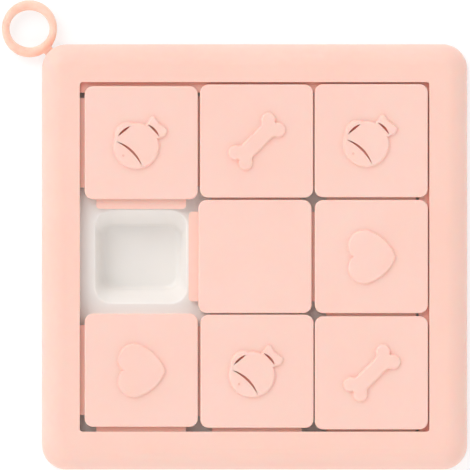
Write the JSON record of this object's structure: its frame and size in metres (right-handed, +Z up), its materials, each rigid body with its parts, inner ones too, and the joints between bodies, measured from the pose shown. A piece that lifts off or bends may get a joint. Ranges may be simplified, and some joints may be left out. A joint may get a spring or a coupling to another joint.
{
  "type": "dog puzzle feeder toy",
  "caption": "Square pet puzzle feeder: loose tongue-and-groove tiles slide on a board over a tray of treat wells, with one cell empty, and a soft loop at one corner to hang it by.",
  "frame": {"origin": "middle of the square case, on the surface that it stands on", "axes": "+Z up out of the board, +Y away from the player, towards the row of tiles beside the hang loop, +X to the right"},
  "size_m": [0.2629, 0.2651, 0.0314],
  "materials": {
    "pink_shell": "satin injection-moulded plastic",
    "tile_cap": "satin injection-moulded plastic",
    "tile_tongue": "satin injection-moulded plastic",
    "tile_base": "satin injection-moulded plastic",
    "white_tray": "smooth food-grade plastic",
    "soft_loop": "soft, slightly translucent rubber",
    "grey_rubber": "matt non-slip rubber",
    "screw_steel": "plated steel"
  },
  "bodies": {
    "case": {"outer_frame": "pink_shell", "treat_tray": "white_tray", "bottom_cover": "pink_shell", "cover_screws": "screw_steel", "foot_pads": "grey_rubber"},
    "hang_loop": {"hang_loop": "soft_loop"},
    "tile_top_left": {"tile_top_left_base": "tile_base", "tile_top_left_tongue_plate": "tile_tongue", "tile_top_left_cap": "tile_cap"},
    "tile_top_middle": {"tile_top_middle_base": "tile_base", "tile_top_middle_tongue_plate": "tile_tongue", "tile_top_middle_cap": "tile_cap"},
    "tile_top_right": {"tile_top_right_base": "tile_base", "tile_top_right_tongue_plate": "tile_tongue", "tile_top_right_cap": "tile_cap"},
    "tile_centre": {"tile_centre_base": "tile_base", "tile_centre_tongue_plate": "tile_tongue", "tile_centre_cap": "tile_cap"},
    "tile_middle_right": {"tile_middle_right_base": "tile_base", "tile_middle_right_tongue_plate": "tile_tongue", "tile_middle_right_cap": "tile_cap"},
    "tile_bottom_left": {"tile_bottom_left_base": "tile_base", "tile_bottom_left_tongue_plate": "tile_tongue", "tile_bottom_left_cap": "tile_cap"},
    "tile_bottom_middle": {"tile_bottom_middle_base": "tile_base", "tile_bottom_middle_tongue_plate": "tile_tongue", "tile_bottom_middle_cap": "tile_cap"},
    "tile_bottom_right": {"tile_bottom_right_base": "tile_base", "tile_bottom_right_tongue_plate": "tile_tongue", "tile_bottom_right_cap": "tile_cap"}
  },
  "joints": [
    {"name": "loop_swing", "type": "hinge", "parent": "case", "child": "hang_loop", "pos_m": [-0.11265, 0.11265, 0.0055], "axis": [0.7071, 0.7071, 0], "range_deg": [0, 18]},
    {"name": "tile_top_left_slide", "type": "slide", "parent": "case", "child": "tile_top_left", "axis": [0, -1, 0], "range_m": [-0.0019, 0.0641]},
    {"name": "tile_top_middle_slide", "type": "slide", "parent": "case", "child": "tile_top_middle", "axis": [1, 0, 0], "range_m": [-0.0009, 0.0005]},
    {"name": "tile_top_right_slide", "type": "slide", "parent": "case", "child": "tile_top_right", "axis": [0, 1, 0], "range_m": [-0.0012, 0.0008]},
    {"name": "tile_centre_slide", "type": "slide", "parent": "case", "child": "tile_centre", "axis": [1, 0, 0], "range_m": [-0.0665, 0.0005]},
    {"name": "tile_middle_right_slide", "type": "slide", "parent": "case", "child": "tile_middle_right", "axis": [1, 0, 0], "range_m": [-0.0665, 0.0005]},
    {"name": "tile_bottom_left_slide", "type": "slide", "parent": "case", "child": "tile_bottom_left", "axis": [0, 1, 0], "range_m": [-0.0024, 0]},
    {"name": "tile_bottom_middle_slide", "type": "slide", "parent": "case", "child": "tile_bottom_middle", "axis": [0, 1, 0], "range_m": [-0.0019, 0.0005]},
    {"name": "tile_bottom_right_slide", "type": "slide", "parent": "case", "child": "tile_bottom_right", "axis": [0, 1, 0], "range_m": [-0.001, 0.0014]}
  ],
  "couplings": [
    {"joint": "tile_middle_right_slide", "follows": "tile_centre_slide", "ratio": 1}
  ]
}
